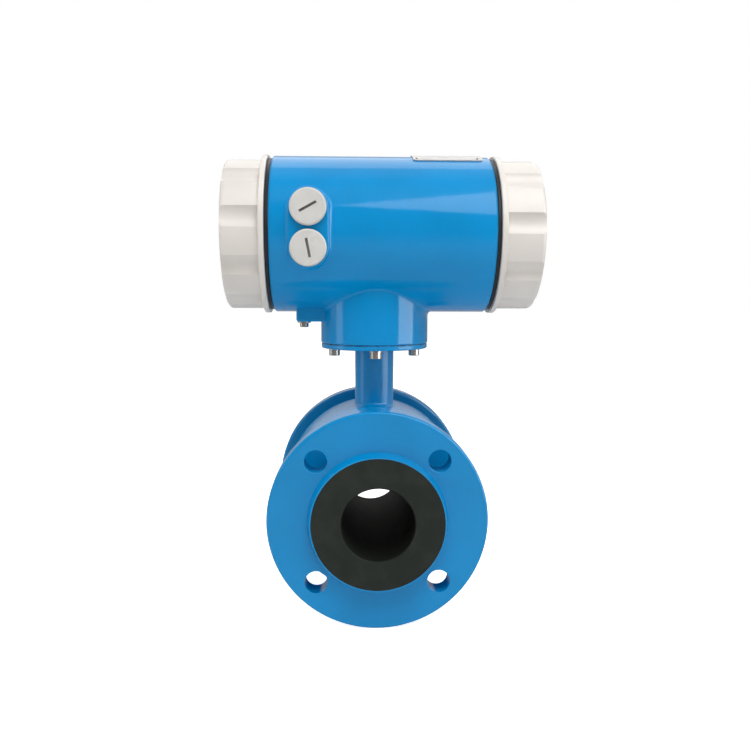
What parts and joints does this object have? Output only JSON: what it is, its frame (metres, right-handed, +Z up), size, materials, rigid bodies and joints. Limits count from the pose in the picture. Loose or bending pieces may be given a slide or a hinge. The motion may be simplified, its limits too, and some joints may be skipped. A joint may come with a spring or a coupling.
{
  "type": "electromagnetic flow meter",
  "caption": "Flanged pipe flow sensor with a rubber-lined bore and a coil drum; its stem carries a cylindrical converter with lobed screw covers, a window and plugged cable entries.",
  "frame": {"origin": "the middle of the flow bore, halfway between the sealing faces", "axes": "+Y along the flow bore to the rear flange, +Z up the stem to the converter, +X to the display side"},
  "size_m": [0.2733, 0.2, 0.4033],
  "materials": {
    "blue_paint": "gloss enamel",
    "blue_casting": "gloss enamel on a casting",
    "cover_paint": "satin powder coat",
    "liner_rubber": "smooth moulded rubber",
    "seal_rubber": "matt rubber",
    "plug_plastic": "satin moulded",
    "bright_steel": "bright stainless",
    "white_insulation": "moulded",
    "magnet_iron": "bare iron",
    "copper_winding": "enamelled copper wire",
    "window_glass": "toughened glass",
    "ring_metal": "turned",
    "nameplate_metal": "satin rolled sheet",
    "board_laminate": "solder mask",
    "panel_plastic": "fine texture",
    "screen_plastic": "display module",
    "key_rubber": "silicone",
    "terminal_plastic": "moulded"
  },
  "bodies": {
    "meter": {"adapter_plate": "blue_paint", "board_pillars": "bright_steel", "coil_housing": "blue_paint", "converter_housing": "blue_casting", "display_panel": "panel_plastic", "display_screen": "screen_plastic", "earth_screw": "bright_steel", "earth_washer": "bright_steel", "front_end_plate": "blue_paint", "front_flange": "blue_paint", "lead_bundle": "white_insulation", "lead_grommet": "seal_rubber", "left_electrode": "bright_steel", "left_electrode_nut": "bright_steel", "left_insulator": "white_insulation", "liner": "liner_rubber", "lower_coil": "copper_winding", "lower_pole_shoe": "magnet_iron", "magnet_yoke": "magnet_iron", "main_board": "board_laminate", "measuring_tube": "blue_paint", "nameplate": "nameplate_metal", "nameplate_rivets": "bright_steel", "neck_gasket": "seal_rubber", "panel_screws": "bright_steel", "plate_screws": "bright_steel", "power_board": "board_laminate", "rear_end_plate": "blue_paint", "rear_flange": "blue_paint", "right_electrode": "bright_steel", "right_electrode_nut": "bright_steel", "right_insulator": "white_insulation", "spring_washers": "bright_steel", "stem": "blue_paint", "terminal_block": "terminal_plastic", "terminal_screws": "bright_steel", "upper_coil": "copper_winding", "upper_pole_shoe": "magnet_iron"},
    "left_seal": {"left_cover_seal": "seal_rubber"},
    "left_cover": {"left_cover": "cover_paint"},
    "right_seal": {"right_cover_seal": "seal_rubber"},
    "right_cover": {"right_cover": "cover_paint", "window_gasket": "seal_rubber", "window_glass": "window_glass", "window_ring": "ring_metal"},
    "upper_washer": {"upper_plug_washer": "seal_rubber"},
    "upper_plug": {"upper_plug": "plug_plastic"},
    "lower_washer": {"lower_plug_washer": "seal_rubber"},
    "lower_plug": {"lower_plug": "plug_plastic"},
    "key_1": {"panel_key_1": "key_rubber"},
    "key_2": {"panel_key_2": "key_rubber"},
    "key_3": {"panel_key_3": "key_rubber"},
    "key_4": {"panel_key_4": "key_rubber"}
  },
  "joints": [
    {"name": "left_seal_slide", "type": "slide", "parent": "meter", "child": "left_seal", "axis": [-1, 0, 0], "range_m": [0, 0.012]},
    {"name": "left_cover_turn", "type": "hinge", "parent": "left_seal", "child": "left_cover", "pos_m": [-0.1, 0, 0.2406], "axis": [-1, 0, 0], "range_deg": [0, 2160]},
    {"name": "right_seal_slide", "type": "slide", "parent": "meter", "child": "right_seal", "axis": [1, 0, 0], "range_m": [0, 0.012]},
    {"name": "right_cover_turn", "type": "hinge", "parent": "right_seal", "child": "right_cover", "pos_m": [0.105, 0, 0.2406], "axis": [1, 0, 0], "range_deg": [0, 2160]},
    {"name": "upper_washer_slide", "type": "slide", "parent": "meter", "child": "upper_washer", "axis": [0, -1, 0], "range_m": [0, 0.009]},
    {"name": "upper_plug_turn", "type": "hinge", "parent": "upper_washer", "child": "upper_plug", "pos_m": [-0.0571, -0.074, 0.25885], "axis": [0, -1, 0], "range_deg": [0, 2160]},
    {"name": "lower_washer_slide", "type": "slide", "parent": "meter", "child": "lower_washer", "axis": [0, -1, 0], "range_m": [0, 0.009]},
    {"name": "lower_plug_turn", "type": "hinge", "parent": "lower_washer", "child": "lower_plug", "pos_m": [-0.0571, -0.074, 0.22575], "axis": [0, -1, 0], "range_deg": [0, 2160]},
    {"name": "key_1_press", "type": "slide", "parent": "meter", "child": "key_1", "axis": [-1, 0, 0], "range_m": [0, 0.001], "stiffness_N_per_m": 400},
    {"name": "key_2_press", "type": "slide", "parent": "meter", "child": "key_2", "axis": [-1, 0, 0], "range_m": [0, 0.001], "stiffness_N_per_m": 400},
    {"name": "key_3_press", "type": "slide", "parent": "meter", "child": "key_3", "axis": [-1, 0, 0], "range_m": [0, 0.001], "stiffness_N_per_m": 400},
    {"name": "key_4_press", "type": "slide", "parent": "meter", "child": "key_4", "axis": [-1, 0, 0], "range_m": [0, 0.001], "stiffness_N_per_m": 400}
  ],
  "couplings": [
    {"joint": "left_seal_slide", "follows": "left_cover_turn", "m_per_rad": 0.0003183},
    {"joint": "right_seal_slide", "follows": "right_cover_turn", "m_per_rad": 0.0003183},
    {"joint": "upper_washer_slide", "follows": "upper_plug_turn", "m_per_rad": 0.00023873},
    {"joint": "lower_washer_slide", "follows": "lower_plug_turn", "m_per_rad": 0.00023873}
  ]
}
